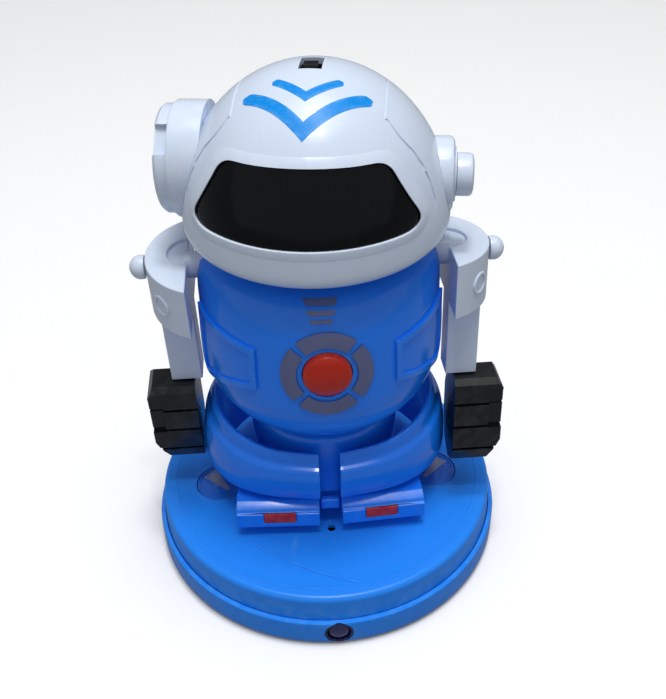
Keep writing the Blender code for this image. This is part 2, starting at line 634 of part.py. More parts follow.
# ---------------------------------------------------------------- head
def dome(radius, up, down, steps):
    """Half outline of the helmet from the neck to the crown, as (radius, height)."""
    points = []
    start = -math.acos(NECK_HOLE_R / radius)
    for step in range(steps + 1):
        share = step / steps
        angle = start + (math.pi / 2 - start) * share
        height = up if angle > 0 else down
        points.append((radius * math.cos(angle), HEAD_Z + height * math.sin(angle)))
    points[-1] = (0, HEAD_Z + up)
    return points


def visor_outline(grow):
    """Front view of the visor window: (x, z) with rounded corners, grown all round."""
    corners = ((-32.4, 159.8, 5.5), (32.4, 159.8, 5.5), (36.6, 163.8, 3.8), (25.2, 182.4, 4.0), (-25.2, 182.4, 4.0),
               (-36.6, 163.8, 3.8))
    points = []
    count = len(corners)
    for index, (x, z, radius) in enumerate(corners):
        here = Vector((x, z))
        before = (Vector(corners[index - 1][:2]) - here).normalized()
        after = (Vector(corners[(index + 1) % count][:2]) - here).normalized()
        half = before.angle(after) / 2
        reach = min(radius / math.tan(half), 4.0)
        for step in range(4):
            share = step / 3
            point = here + before * reach * (1 - share) ** 2 + after * reach * share ** 2
            points.append(point)
    middle = Vector((0, 171))
    grown = []
    for point in points:
        out = (point - middle).normalized()
        grown.append(((point.x + out.x * grow) * MM, (point.y + out.y * grow) * MM))
    return grown


def make_head(mats, torso):
    head = empty("head_turn", (0, 0, 0), (0, 0, HEAD_TURN), torso)
    outer = dome(HEAD_R, HEAD_UP, HEAD_DOWN, 10)
    inner = dome(HEAD_R - HEAD_WALL, HEAD_UP - HEAD_WALL, HEAD_DOWN - HEAD_WALL, 7)
    skin = outer + list(reversed(inner))
    big = 200 * MM
    slot_y = (SLOT_Y[0] + SLOT_Y[1]) / 2
    slot_length = SLOT_Y[1] - SLOT_Y[0]
    for name, sign in (("front", 1.0), ("back", -1.0)):
        shell = piece("helmet_%s_shell" % name, lathe(skin, 36), mats["white"], parent=head)
        away = (0, HEAD_SPLIT_Y + sign * (big / 2 - GAP / 2), HEAD_Z)
        boolean(shell, cutter("cut_helmet_half_" + name, block((big, big, big)), away, parent=head))
        if name == "front":
            window = prism(visor_outline(0.0), -80 * MM, -14 * MM, 'Y')
            boolean(shell, cutter("cut_visor_window", window, parent=head))
            slot = block((SLOT_X, slot_length, 14 * MM))
            boolean(shell, cutter("cut_crown_slot", slot, (0, slot_y, HEAD_Z + HEAD_UP), parent=head))
    glass_outer = dome(HEAD_R - 0.4 * MM, HEAD_UP - 0.4 * MM, HEAD_DOWN - 0.4 * MM, 16)
    glass_inner = dome(HEAD_R - 1.9 * MM, HEAD_UP - 1.9 * MM, HEAD_DOWN - 1.9 * MM, 12)
    visor = piece("visor", lathe(glass_outer + list(reversed(glass_inner)), 48), mats["gloss_black"], parent=head)
    pane = prism(visor_outline(-0.35), -80 * MM, -14 * MM, 'Y')
    boolean(visor, cutter("keep_visor", pane, parent=head), 'INTERSECT')
    piece("eye_board", block((34 * MM, 1.6 * MM, 16 * MM)), mats["board"], (0, -27 * MM, 170 * MM), parent=head)
    fit = dome(HEAD_R + GAP, HEAD_UP + GAP, HEAD_DOWN + GAP, 16)
    fit[0] = (0, fit[0][1])
    form = cutter("head_form", lathe(fit, 48), parent=head)
    ears = (("ear_drum_right", -1.0, ((0, 36.0), (20.0, 36.0), (20.0, 49.0), (18.5, 52.0), (0, 52.0))),
            ("ear_boss_left", 1.0, ((0, 40.0), (12.8, 40.0), (12.8, 46.6), (11.8, 47.6), (0, 47.6))))
    for name, sign, outline in ears:
        body = lathe([(r * MM, x * MM) for r, x in outline], 28, 'X')
        turn = 0 if sign > 0 else 180
        height = EAR_BOSS_Z if sign > 0 else EAR_DRUM_Z
        ear = piece(name, body, mats["white"], (0, EAR_Y, height), (0, 0, turn), head)
        boolean(ear, form)
    cap = lathe([(0, 47.9 * MM), (7.3 * MM, 47.9 * MM), (7.3 * MM, 52.6 * MM), (6.4 * MM, 53.6 * MM), (0, 53.6 * MM)],
                20, 'X')
    piece("ear_cap_left", cap, mats["white"], (0, EAR_Y, EAR_BOSS_Z), parent=head)
    knob = block((4.6 * MM, 4.2 * MM, 6.0 * MM), 0.5 * MM)
    piece("crown_switch_knob", knob, mats["black"], (0, SLOT_Y[0] + 2.8 * MM, HEAD_Z + HEAD_UP - 2.4 * MM), parent=head)


def main():
    for obj in list(bpy.data.objects):
        bpy.data.objects.remove(obj, do_unlink=True)
    mats = {
        "plate": material("blue_plate_plastic", PLATE_BLUE, 0.28),
        "blue": material("blue_plastic", PLASTIC_BLUE, 0.25),
        "white": material("white_plastic", WHITE, 0.22),
        "black": material("black_plastic", BLACK, 0.35),
        "gloss_black": material("visor_plastic", BLACK, 0.08),
        "grey": material("silver_print", GREY, 0.35),
        "orange": material("orange_plastic", ORANGE, 0.35),
        "lens": material("clear_lens", (0.05, 0.1, 0.5), 0.1),
        "rubber": material("tyre_rubber", (0.03, 0.03, 0.03), 0.8),
        "nylon": material("gear_nylon", (0.75, 0.74, 0.68), 0.45),
        "steel": material("steel", STEEL, 0.3, 1.0),
        "cell": material("cell_jacket", (0.1, 0.1, 0.12), 0.4),
        "board": material("board_green", (0.03, 0.18, 0.08), 0.5),
    }
    root = empty("robot", (0, 0, 0))
    make_base(mats, root)
    make_batteries(mats, root)
    make_drive(mats, root)
    make_legs(mats, root)
    torso = make_torso(mats, root)
    make_arms(mats, torso)
    make_head(mats, torso)


main()
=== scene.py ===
import math

import bmesh
import bpy
from mathutils import Matrix, Quaternion, Vector


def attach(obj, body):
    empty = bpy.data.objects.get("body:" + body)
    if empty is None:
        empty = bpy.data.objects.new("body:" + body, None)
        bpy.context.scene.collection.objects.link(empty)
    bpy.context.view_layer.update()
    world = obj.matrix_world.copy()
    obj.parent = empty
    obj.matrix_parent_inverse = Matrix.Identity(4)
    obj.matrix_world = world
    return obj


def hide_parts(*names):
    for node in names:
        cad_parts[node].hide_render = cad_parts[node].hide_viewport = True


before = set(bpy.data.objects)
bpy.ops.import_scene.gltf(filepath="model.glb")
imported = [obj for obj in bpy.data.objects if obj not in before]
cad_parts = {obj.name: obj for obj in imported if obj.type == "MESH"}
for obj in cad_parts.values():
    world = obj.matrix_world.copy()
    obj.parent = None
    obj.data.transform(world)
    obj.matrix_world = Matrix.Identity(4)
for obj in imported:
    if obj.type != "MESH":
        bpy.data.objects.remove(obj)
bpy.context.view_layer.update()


# ---------------------------------------------------------------- base pan
# The toy stands on a shallow round pan of blue ABS, injection moulded in one shot.
# It carries the batteries and the drive, and takes the screws that close the base.
def turned(profile, steps, axis="Z"):
    """A turned solid from (radius, height) points listed once round its section."""
    bm = bmesh.new()
    rings = []
    for radius, height in profile:
        if radius == 0:
            rings.append([bm.verts.new((0, 0, height))])
            continue
        ring = []
        for step in range(steps):
            angle = math.tau * step / steps
            ring.append(bm.verts.new((radius * math.cos(angle), radius * math.sin(angle), height)))
        rings.append(ring)
    for near, far in zip(rings, rings[1:] + rings[:1]):
        for step in range(steps):
            after = (step + 1) % steps
            if len(near) == 1 and len(far) == 1:
                break
            if len(near) == 1:
                bm.faces.new((near[0], far[step], far[after]))
            elif len(far) == 1:
                bm.faces.new((near[step], far[0], near[after]))
            else:
                bm.faces.new((near[step], far[step], far[after], near[after]))
    if axis == "X":
        bm.transform(Matrix.Rotation(math.radians(90), 4, "Y"))
    if axis == "-Y":
        bm.transform(Matrix.Rotation(math.radians(90), 4, "X"))
    return bm


def brick(size, centre=(0, 0, 0)):
    """A square-cornered block of a size about a centre."""
    bm = bmesh.new()
    bmesh.ops.create_cube(bm, size=1.0)
    bm.transform(Matrix.Translation(centre) @ Matrix.Diagonal((*size, 1)))
    return bm


def drill(radius, length, centre, axis="Z", steps=48):
    """A round bar about a centre, to cut a hole with."""
    bm = turned(((0, -length / 2), (radius, -length / 2), (radius, length / 2), (0, length / 2)), steps, axis)
    bm.transform(Matrix.Translation(centre))
    return bm


def blank(bm):
    """A loose workpiece, in millimetres, from its faces."""
    bmesh.ops.recalc_face_normals(bm, faces=bm.faces)
    mesh = bpy.data.meshes.new("blank")
    bm.to_mesh(mesh)
    bm.free()
    part = bpy.data.objects.new("blank", mesh)
    bpy.context.scene.collection.objects.link(part)
    return part


def worked(part):
    """Fixes the last modifier into the workpiece's own mesh."""
    graph = bpy.context.evaluated_depsgraph_get()
    mesh = bpy.data.meshes.new_from_object(part.evaluated_get(graph))
    part.modifiers.clear()
    part.data = mesh


def machine(part, tool, how="DIFFERENCE"):
    """Cuts a workpiece with a tool shape, or adds it or keeps what they share."""
    tool = blank(tool)
    cut = part.modifiers.new("cut", "BOOLEAN")
    cut.operation = how
    cut.solver = "EXACT"
    cut.object = tool
    worked(part)
    bpy.data.objects.remove(tool)


def break_edges(part, width, segments=2, angle=40):
    """Rounds every edge sharper than an angle, as a mould's own corners are."""
    round_over = part.modifiers.new("round", "BEVEL")
    round_over.width = width
    round_over.segments = segments
    round_over.limit_method = "ANGLE"
    round_over.angle_limit = math.radians(angle)
    worked(part)


def seat(part, name, finish, body, stands_for=(), place=None, crease=35):
    """Puts a finished piece in its place on a body, in metres, with its finish and even shading."""
    if place:
        part.data.transform(place)
    part.data.transform(Matrix.Scale(0.001, 4))
    bm = bmesh.new()
    bm.from_mesh(part.data)
    bmesh.ops.dissolve_degenerate(bm, edges=bm.edges, dist=0.0000005)
    for face in bm.faces:
        face.smooth = True
    for edge in bm.edges:
        edge.smooth = len(edge.link_faces) == 2 and edge.calc_face_angle() < math.radians(crease)
    bm.to_mesh(part.data)
    bm.free()
    part.name = name
    part.data.name = name
    part.data.materials.clear()
    part.data.materials.append(finish)
    even = part.modifiers.new("even_shading", "WEIGHTED_NORMAL")
    even.keep_sharp = True
    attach(part, body)
    if stands_for:
        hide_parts(*stands_for)
    return part


def moulded_surface():
    """Shared effect of a moulded skin: grain, slow flow marks, hairline scuffs, rubbed edges, settled dust."""
    group = bpy.data.node_groups.new("moulded_surface", "ShaderNodeTree")
    colour, number = "NodeSocketColor", "NodeSocketFloat"
    for label, kind in (("Colour", colour), ("Rubbed Colour", colour), ("Roughness", number),
                        ("Grain Size", number),
                        ("Grain Depth", number), ("Flow Marks", number), ("Scuffs", number),
                        ("Edge Wear", number),
                        ("Dust", number)):
        group.interface.new_socket(label, in_out="INPUT", socket_type=kind)
    for label, kind in (("Colour", colour), ("Roughness", number), ("Height", number)):
        group.interface.new_socket(label, in_out="OUTPUT", socket_type=kind)
    nodes = group.nodes
    link = group.links.new
    given = nodes.new("NodeGroupInput").outputs
    result = nodes.new("NodeGroupOutput").inputs
    where = nodes.new("ShaderNodeTexCoord").outputs["Object"]
    shape = nodes.new("ShaderNodeNewGeometry").outputs

    def speckle(scale, detail, along=where):
        noise = nodes.new("ShaderNodeTexNoise")
        noise.inputs["Detail"].default_value = detail
        link(along, noise.inputs["Vector"])
        if isinstance(scale, (int, float)):
            noise.inputs["Scale"].default_value = scale
        else:
            link(scale, noise.inputs["Scale"])
        return noise.outputs["Fac"]

    def spread(value, low, high, new_low=0.0, new_high=1.0):
        node = nodes.new("ShaderNodeMapRange")
        link(value, node.inputs["Value"])
        for label, number_in in (("From Min", low), ("From Max", high), ("To Min", new_low),
                                 ("To Max", new_high)):
            node.inputs[label].default_value = number_in
        return node.outputs["Result"]

    def sum_of(how, first, second):
        node = nodes.new("ShaderNodeMath")
        node.operation = how
        for socket, value in zip(node.inputs, (first, second)):
            if isinstance(value, (int, float)):
                socket.default_value = value
            else:
                link(value, socket)
        return node.outputs[0]

    def tint(mask, under, over):
        node = nodes.new("ShaderNodeMix")
        node.data_type = "RGBA"
        link(mask, node.inputs[0])
        link(under, node.inputs[6])
        if isinstance(over, tuple):
            node.inputs[7].default_value = over
        else:
            link(over, node.inputs[7])
        return node.outputs[2]

    flow = sum_of("MULTIPLY", spread(speckle(26, 3), 0.3, 0.7, -1.0, 1.0), given["Flow Marks"])
    shade = nodes.new("ShaderNodeVectorMath")
    shade.operation = "SCALE"
    link(given["Colour"], shade.inputs[0])
    link(sum_of("ADD", flow, 1.0), shade.inputs["Scale"])
    rub = spread(shape["Pointiness"], 0.515, 0.58)
    rub = sum_of("MULTIPLY", rub, spread(speckle(240, 3), 0.42, 0.6))
    rub = sum_of("MULTIPLY", rub, given["Edge Wear"])
    streak = nodes.new("ShaderNodeMapping")
    streak.inputs["Rotation"].default_value = (0.4, 0.3, 0.9)
    streak.inputs["Scale"].default_value = (1700, 45, 60)
    link(where, streak.inputs["Vector"])
    scuff = spread(speckle(1.0, 2, streak.outputs["Vector"]), 0.64, 0.72)
    scuff = sum_of("MULTIPLY", scuff, spread(speckle(48, 2), 0.5, 0.62))
    scuff = sum_of("MULTIPLY", scuff, given["Scuffs"])
    facing = nodes.new("ShaderNodeSeparateXYZ")
    link(shape["Normal"], facing.inputs[0])
    dust = sum_of("MULTIPLY", spread(facing.outputs["Z"], 0.5, 1.0), spread(speckle(900, 4), 0.5, 0.72))
    dust = sum_of("MULTIPLY", dust, given["Dust"])
    skin = tint(rub, shade.outputs["Vector"], given["Rubbed Colour"])
    link(tint(dust, skin, (0.55, 0.54, 0.52, 1)), result["Colour"])
    matt = sum_of("ADD", given["Roughness"], sum_of("MULTIPLY", flow, 0.35))
    matt = sum_of("ADD", matt, sum_of("MULTIPLY", scuff, 0.22))
    link(sum_of("ADD", matt, sum_of("MULTIPLY", dust, 0.4)), result["Roughness"])
    grain = sum_of("MULTIPLY", speckle(given["Grain Size"], 3), given["Grain Depth"])
    link(sum_of("SUBTRACT", grain, sum_of("MULTIPLY", scuff, 0.000012)), result["Height"])
    return group


MOULDED_SURFACE = moulded_surface()


def shade_of(red, green, blue):
    """A colour as a paint chart gives it, out of 255, as the light it reflects."""
    return tuple(((part / 255 + 0.055) / 1.055) ** 2.4 for part in (red, green, blue)) + (1.0,)


def finish_of(name, colour, rubbed, roughness, grain=(1400, 0.000006), flow=0.05, scuffs=0.5, wear=0.25,
              dust=0.10,
              coat=0.0, metallic=0.0, transmission=0.0, gloss=0.35):
    """A material whose skin comes from the moulded surface effect, with its own values."""
    finish = bpy.data.materials.new(name)
    finish.use_nodes = True
    nodes = finish.node_tree.nodes
    link = finish.node_tree.links.new
    shader = nodes["Principled BSDF"].inputs
    skin = nodes.new("ShaderNodeGroup")
    skin.node_tree = MOULDED_SURFACE
    skin.name = "skin"
    for label, value in (("Colour", colour), ("Rubbed Colour", rubbed), ("Roughness", roughness),
                         ("Grain Size", grain[0]), ("Grain Depth", grain[1]), ("Flow Marks", flow),
                         ("Scuffs", scuffs), ("Edge Wear", wear), ("Dust", dust)):
        skin.inputs[label].default_value = value
    bump = nodes.new("ShaderNodeBump")
    bump.inputs["Distance"].default_value = 1.0
    link(skin.outputs["Colour"], shader["Base Color"])
    link(skin.outputs["Roughness"], shader["Roughness"])
    link(skin.outputs["Height"], bump.inputs["Height"])
    link(bump.outputs["Normal"], shader["Normal"])
    shader["Coat Weight"].default_value = coat
    shader["Coat Roughness"].default_value = 0.06
    shader["Specular IOR Level"].default_value = gloss
    shader["Metallic"].default_value = metallic
    shader["Transmission Weight"].default_value = transmission
    return finish


def paint(finish, *nodes):
    """Gives a finish to pieces whose shape is already right."""
    for node in nodes:
        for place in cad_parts[node].material_slots:
            place.material = finish


plate_blue = finish_of("plate_blue_abs", shade_of(34, 134, 242), shade_of(100, 175, 245), 0.3, gloss=0.25,
                       dust=0.02,
                       grain=(1400, 0.000003), flow=0.02)
body_blue = finish_of("body_blue_abs", shade_of(24, 124, 246), shade_of(80, 150, 240), 0.15, gloss=0.45,
                      dust=0.01,
                      grain=(1200, 0.000002), flow=0.02)
side_of = (("left", 1), ("right", -1))
pan = blank(turned(((0, 1), (70.9, 1), (72.1, 1.6), (72.5, 2.8), (72.5, 11.2), (72.2, 12.2), (71.5, 12.7),
                    (70.6, 12.7), (70.6, 3), (0, 3)), 144))
machine(pan, drill(25.1, 12, (0, 26, 0), steps=72))
machine(pan, brick((58, 49, 12), (0, -35.5, 0)))
machine(pan, drill(5.6, 6, (0, -72.5, 6.9), "-Y"))
for side, sign in side_of:
    machine(pan, brick((13, 11, 12), (sign * 46, -36, 0)))
    machine(pan, drill(3.0, 12, (sign * 43, 45, 0), steps=24))
    machine(pan, drill(3.0, 12, (sign * 60, -12, 0), steps=24))
seat(pan, "base_pan", plate_blue, "base", ("base_bottom_shell",))


# ---------------------------------------------------------------- base top
# A domed-edge plate of the same blue ABS closes the pan. It is moulded with a fine raised ring near its
# rim, a long raised swoosh, two round windows beside the legs and one small sight hole in front.
def strand(points, radius, steps=10):
    """A thin round bar that follows points and thins out to its two ends."""
    bm = bmesh.new()
    rings = []
    last = len(points) - 1
    for index, point in enumerate(points):
        along = (Vector(points[min(index + 1, last)]) - Vector(points[max(index - 1, 0)])).normalized()
        across = along.cross(Vector((0, 0, 1))) if abs(along.z) < 0.9 else along.cross(Vector((0, 1, 0)))
        across.normalize()
        third = along.cross(across)
        thin = min(1.0, 0.3 + 0.35 * index, 0.3 + 0.35 * (last - index)) * radius
        ring = []
        for step in range(steps):
            angle = math.tau * step / steps
            around = across * math.cos(angle) + third * math.sin(angle)
            ring.append(bm.verts.new(Vector(point) + around * thin))
        rings.append(ring)
    for near, far in zip(rings, rings[1:]):
        for step in range(steps):
            after = (step + 1) % steps
            bm.faces.new((near[step], near[after], far[after], far[step]))
    bm.faces.new(rings[0])
    bm.faces.new(rings[-1])
    return bm


window_x, window_y = 45.2, -5
rim = []
for degrees in range(90, -1, -10):
    angle = math.radians(degrees)
    rim.append((67.5 + 2.3 * math.cos(angle), 21.7 + 2.3 * math.sin(angle)))
plate = blank(turned([(0, 24.2), (64.0, 24.2), (64.3, 24.4), (65.2, 24.4), (65.5, 24.1)] + rim +
                     [(70.3, 11.7), (68.5, 11.7), (67.6, 20.2), (66, 22.4), (0, 22.4)], 144))
swoosh = []
for step in range(29):
    share = (step - 4) / 24
    swoosh.append((-27.5 + 37 * share, -43.2 - 28 * share + 8.2 * share * share, 24.05))
machine(plate, strand(swoosh, 0.75), "UNION")
machine(plate, drill(1.7, 12, (0, -34.7, 24), steps=24))
for side, sign in side_of:
    machine(plate, drill(10.5, 12, (sign * window_x, window_y, 24), steps=64))
seat(plate, "base_top_plate", plate_blue, "base", ("base_top_shell",), crease=14)


# ---------------------------------------------------------------- windows and headlamp
# Clear blue polystyrene discs sit in the two round openings, each with a silver wedge foiled on it.
# The headlamp is a domed lens of the same plastic in a dark bezel, pressed into the front of the pan.
def sheet_on(rows, height, thickness):
    """A closed thin skin from rows of points, as thick as asked, raised along a direction at each point."""
    bm = bmesh.new()
    top = [[bm.verts.new(Vector(point) + Vector(out) * height) for point, out in row] for row in rows]
    low = [[bm.verts.new(Vector(point) + Vector(out) * (height - thickness)) for point,
            out in row] for row in rows]
    for layer, flip in ((top, False), (low, True)):
        for first, second in zip(layer, layer[1:]):
            for index in range(len(first) - 1):
                loop = (first[index], first[index + 1], second[index + 1], second[index])
                bm.faces.new(tuple(reversed(loop)) if flip else loop)
    rim_top = top[0] + [row[-1] for row in top[1:]] + list(reversed(top[-1][:-1]))
    rim_top += [row[0] for row in reversed(top[1:-1])]
    rim_low = low[0] + [row[-1] for row in low[1:]] + list(reversed(low[-1][:-1]))
    rim_low += [row[0] for row in reversed(low[1:-1])]
    for index in range(len(rim_top)):
        after = (index + 1) % len(rim_top)
        bm.faces.new((rim_top[index], rim_low[index], rim_low[after], rim_top[after]))
    return bm


lens_blue = finish_of("clear_blue_lens", shade_of(28, 110, 220), shade_of(90, 160, 240), 0.12,
                      grain=(500, 0.000002),
                      coat=0.2, transmission=0.04, wear=0.1)
lamp_blue = finish_of("deep_blue_lamp", shade_of(6, 14, 96), shade_of(60, 90, 200), 0.06,
                      grain=(500, 0.000002),
                      coat=0.8, transmission=0.2, wear=0.1)
navy_bezel = finish_of("navy_bezel", shade_of(4, 10, 62), shade_of(40, 60, 150), 0.18, coat=0.2)
silver_foil = finish_of("silver_foil_print", shade_of(104, 112, 150), shade_of(60, 90, 200), 0.34,
                        metallic=0.45,
                        grain=(3200, 0.000005), flow=0.12, wear=0.5)
wedge_foil = finish_of("wedge_foil_print", shade_of(150, 160, 188), shade_of(60, 90, 200), 0.3, metallic=0.3,
                       grain=(3200, 0.000005), flow=0.12, wear=0.5)
for side, sign in side_of:
    place = Matrix.Translation((sign * window_x, window_y, 0))
    window = blank(turned(((0, 22.6), (10.2, 22.6), (10.2, 23.7), (9.9, 24.0), (9.3, 24.05), (8.9, 23.7),
                           (8.2, 23.65), (0, 23.75)), 64))
    seat(window, "window_" + side, lens_blue, "base", ("window_lens_" + side,), place)
    wedge = []
    for step in range(9):
        share = step / 8
        half = 3.4 - 2.7 * share
        reach = 8.0 - 13.5 * share
        wedge.append([((across * half, reach, 23.74), (0, 0, 1)) for across in (-1, -0.5, 0, 0.5, 1)])
    foil = blank(sheet_on(wedge, 0.12, 0.2))
    seat(foil, "window_foil_" + side, wedge_foil, "base",
         place=place @ Matrix.Rotation(math.radians(sign * -38), 4, "Z"))
lamp_place = Matrix.Translation((0, 0, 6.9))
lamp = blank(turned(((0, 69.6), (4.2, 69.6), (4.2, 71.3), (3.9, 71.75), (3.2, 72.1), (2.2, 72.35),
                     (1.1, 72.47),
                     (0, 72.5)), 48, "-Y"))
seat(lamp, "headlamp_lens_dome", lamp_blue, "base", ("headlamp_lens",), lamp_place)
bezel = blank(turned(((4.45, 70.6), (5.4, 70.6), (5.4, 72.25), (5.1, 72.5), (4.75, 72.5), (4.45, 72.2)), 48,
                     "-Y"))
seat(bezel, "headlamp_bezel", navy_bezel, "base", place=lamp_place)


# ---------------------------------------------------------------- works inside the base
# Batteries, speaker and board lie on the floor of the pan, and the drive sits in a swivelling bogie held
# by a ring. The screws are zinc-plated steel, the gears and axle run dry in nylon and steel.
steel = finish_of("zinc_plated_steel", shade_of(176, 178, 180), shade_of(215, 215, 214), 0.3, metallic=0.92,
                  grain=(2600, 0.000006), flow=0.1, scuffs=1.0)
jacket = finish_of("cell_jacket_film", shade_of(38, 66, 58), shade_of(160, 160, 150), 0.22, coat=0.4,
                   flow=0.15)
board_green = finish_of("printed_board", shade_of(22, 92, 48), shade_of(180, 140, 60), 0.4,
                        grain=(2400, 0.00002))
nylon = finish_of("natural_nylon", shade_of(222, 218, 204), shade_of(240, 238, 230), 0.45,
                  grain=(1800, 0.000012))
black_abs = finish_of("black_abs", shade_of(6, 8, 12), shade_of(70, 72, 78), 0.28, grain=(1900, 0.000014),
                      coat=0.1, scuffs=0.7, wear=0.3, dust=0.01)
tyre_rubber = finish_of("tyre_rubber", shade_of(30, 30, 31), shade_of(84, 82, 80), 0.72,
                        grain=(2200, 0.00006),
                        scuffs=0.2, dust=0.3)
screws = ["base_screw_left_1", "base_screw_left_2", "base_screw_right_1", "base_screw_right_2"]
paint(steel, *screws, "battery_door_screw", "contact_plate_left", "contact_plate_right", "speaker",
      "drive_axle",
      "motor", "button_spring")
paint(jacket, "battery_cell_1", "battery_cell_2", "battery_cell_3")
paint(board_green, "circuit_board", "eye_board")
paint(nylon, "drive_gear", "motor_pinion")
paint(black_abs, "bogie_retainer", "bogie_plate", "gearbox_housing", "front_roller_left",
      "front_roller_right",
      "drive_wheel_left", "drive_wheel_right")
paint(tyre_rubber, "drive_tyre_left", "drive_tyre_right")
paint(plate_blue, "battery_door")


# ---------------------------------------------------------------- hips and thighs
# A blue ABS drum stands on the plate. Two curved shells wrap it from the front round to the sides, each
# with a stepped lip along its upper edge, and leave a narrow straight gap between them in front.
def smoothed(points, rounds, soft):
    """Cuts the corners of a closed outline, so that it reads as moulded curves."""
    for turn in range(rounds):
        softer = []
        for near, far in zip(points, points[1:] + points[:1]):
            softer.append(tuple(n * (1 - soft) + f * soft for n, f in zip(near, far)))
            softer.append(tuple(n * soft + f * (1 - soft) for n, f in zip(near, far)))
        points = softer
    return points


def thigh_shell(sign):
    """The wrapped shell as sections swept about the middle, wider and taller towards the side."""
    front = smoothed([(30.6, 39.6), (33.2, 39.6), (36.8, 43.0), (39.3, 49.5), (40.1, 55.6), (39.4, 59.8),
                      (37.0, 61.0), (36.9, 64.9), (35.4, 66.0), (34.0, 65.2)], 2, 0.16)
    outer = smoothed([(44.3, 29.0), (46.9, 29.0), (48.8, 38.0), (49.4, 46.0), (49.2, 56.0), (47.8, 64.4),
                      (45.5, 66.2), (44.9, 70.2), (43.2, 71.6), (41.4, 70.6)], 2, 0.16)
    bm = bmesh.new()
    sections = []
    steps = 56
    for step in range(steps + 1):
        degrees = 6.5 + 131.5 * step / steps
        blend = min(max((degrees - 30) / 60, 0), 1)
        blend = blend * blend * (3 - 2 * blend)
        swell = min(max((degrees - 10) / 70, 0), 1)
        swell = swell * swell * (3 - 2 * swell)
        drop = min(max((degrees - 67) / 24, 0), 1)
        drop = drop * drop * (3 - 2 * drop)
        ring = []
        for near, far in zip(front, outer):
            radius = near[0] + (far[0] - near[0]) * swell
            height = near[1] + (far[1] - near[1]) * (drop if near[1] < 45 else blend)
            turn = math.radians(degrees)
            x = 4.0 if step == 0 else radius * math.sin(turn)
            ring.append(bm.verts.new((sign * x, -radius * math.cos(turn), height)))
        sections.append(ring)
    for near, far in zip(sections, sections[1:]):
        for index in range(len(front)):
            after = (index + 1) % len(front)
            bm.faces.new((near[index], near[after], far[after], far[index]))
    bm.faces.new(sections[0])
    bm.faces.new(sections[-1])
    return bm


hips = blank(turned(((6.8, 65.5), (26, 65.5), (27, 63), (27, 42), (16, 41), (16, 24.5), (18.4, 24.5),
                     (18.4, 39.5),
                     (29.1, 39.5), (29.5, 39.9), (29.5, 64.2), (29.1, 66.0), (27.8, 67.3), (25.5, 68),
                     (6.8, 68)), 96))
seat(hips, "hip_drum", body_blue, "base", ("pelvis",))
for side, sign in side_of:
    shell = blank(thigh_shell(sign))
    break_edges(shell, 0.3, 2, 60)
    seat(shell, "thigh_shell_" + side, body_blue, "base", ("thigh_" + side,), crease=42)


# ---------------------------------------------------------------- feet
# Two blue ABS bars lie in front of the hips, each with a sloped front edge and a pocket for a small ribbed
# orange reflector. A short bridge joins them under the gap between the thighs.
def bar_along(outline, low, high, axis):
    """A straight bar along X, Y or Z: its outline is (y, z), (x, z) or (x, y)."""
    bm = bmesh.new()
    ends = []
    for where in (low, high):
        loop = []
        for first, second in outline:
            point = {"X": (where, first, second), "Y": (first, where, second),
                     "Z": (first, second, where)}[axis]
            loop.append(bm.verts.new(point))
        ends.append(loop)
    count = len(outline)
    for index in range(count):
        after = (index + 1) % count
        bm.faces.new((ends[0][index], ends[0][after], ends[1][after], ends[1][index]))
    bm.faces.new(ends[0])
    bm.faces.new(ends[1])
    return bm


orange = finish_of("orange_lens_plastic", shade_of(188, 34, 6), shade_of(235, 120, 70), 0.24, coat=0.1,
                   grain=(1500, 0.000005))
sole = ((18.4, 29.0), (0.6, 29.0), (0.0, 29.8), (0.5, 36.0), (1.7, 36.3), (2.0, 37.4), (4.9, 39.1),
        (5.6, 39.3),
        (6.4, 39.2), (18.4, 38.6))
for side, sign in side_of:
    ankle = Matrix.Translation((sign * 4.6, -38, 0)) @ Matrix.Rotation(math.radians(sign * 3), 4, "Z")
    low, high = sorted((0.0, sign * 32.8))
    foot = blank(bar_along(sole, low, high, "X"))
    machine(foot, brick((13.0, 2.4, 4.8), (sign * 15.6, 0.1, 33.9)))
    break_edges(foot, 0.3, 2, 40)
    seat(foot, "foot_bar_" + side, body_blue, "base", ("foot_" + side,), ankle, 30)
    ribs = []
    for step in range(25):
        ribs.append((-6.2 + 12.4 * step / 24, -0.14 if step % 2 else 0.14))
    ribs += [(6.2, 0.85), (-6.2, 0.85)]
    reflector = blank(bar_along(ribs, 31.8, 36.0, "Z"))
    seat(reflector, "foot_lens_" + side, orange, "base", ("foot_reflector_" + side,),
         ankle @ Matrix.Translation((sign * 15.6, 0.25, 0)), 20)
bridge = blank(brick((7.4, 2.8, 5.0), (0, -31.4, 35.8)))
break_edges(bridge, 0.5, 3)
seat(bridge, "foot_bridge_bar", body_blue, "base", ("foot_bridge",))


# ---------------------------------------------------------------- torso
# Two barrel halves of glossy blue ABS meet on a seam at the sides. The front one is moulded with a bordered
# raised panel on each side and carries a short ladder of silver bars under the neck.
barrel = ((24.0, 70.5), (31.0, 72.6), (36.5, 76.6), (40.4, 81.4), (43.2, 87.4), (44.6, 94.5), (44.8, 103.0),
          (44.5, 114.0), (43.3, 123.0), (40.6, 130.0), (35.5, 134.2), (28.0, 136.0))


shaft_z = 130.5
chest_z = 110
half_seam = 0.15


def barrel_curve(rounds):
    """The barrel's outline with more points, on a smooth curve through its own."""
    outline = []
    last = len(barrel) - 1
    for index in range(last):
        before, here = Vector(barrel[max(index - 1, 0)]), Vector(barrel[index])
        after, beyond = Vector(barrel[index + 1]), Vector(barrel[min(index + 2, last)])
        for step in range(rounds):
            t = step / rounds
            point = here * 2 + (after - before) * t + (before * 2 - here * 5 + after * 4 - beyond) * t * t
            point += (here * 3 - before - after * 3 + beyond) * t * t * t
            outline.append(tuple(point / 2))
    return outline + [barrel[-1]]


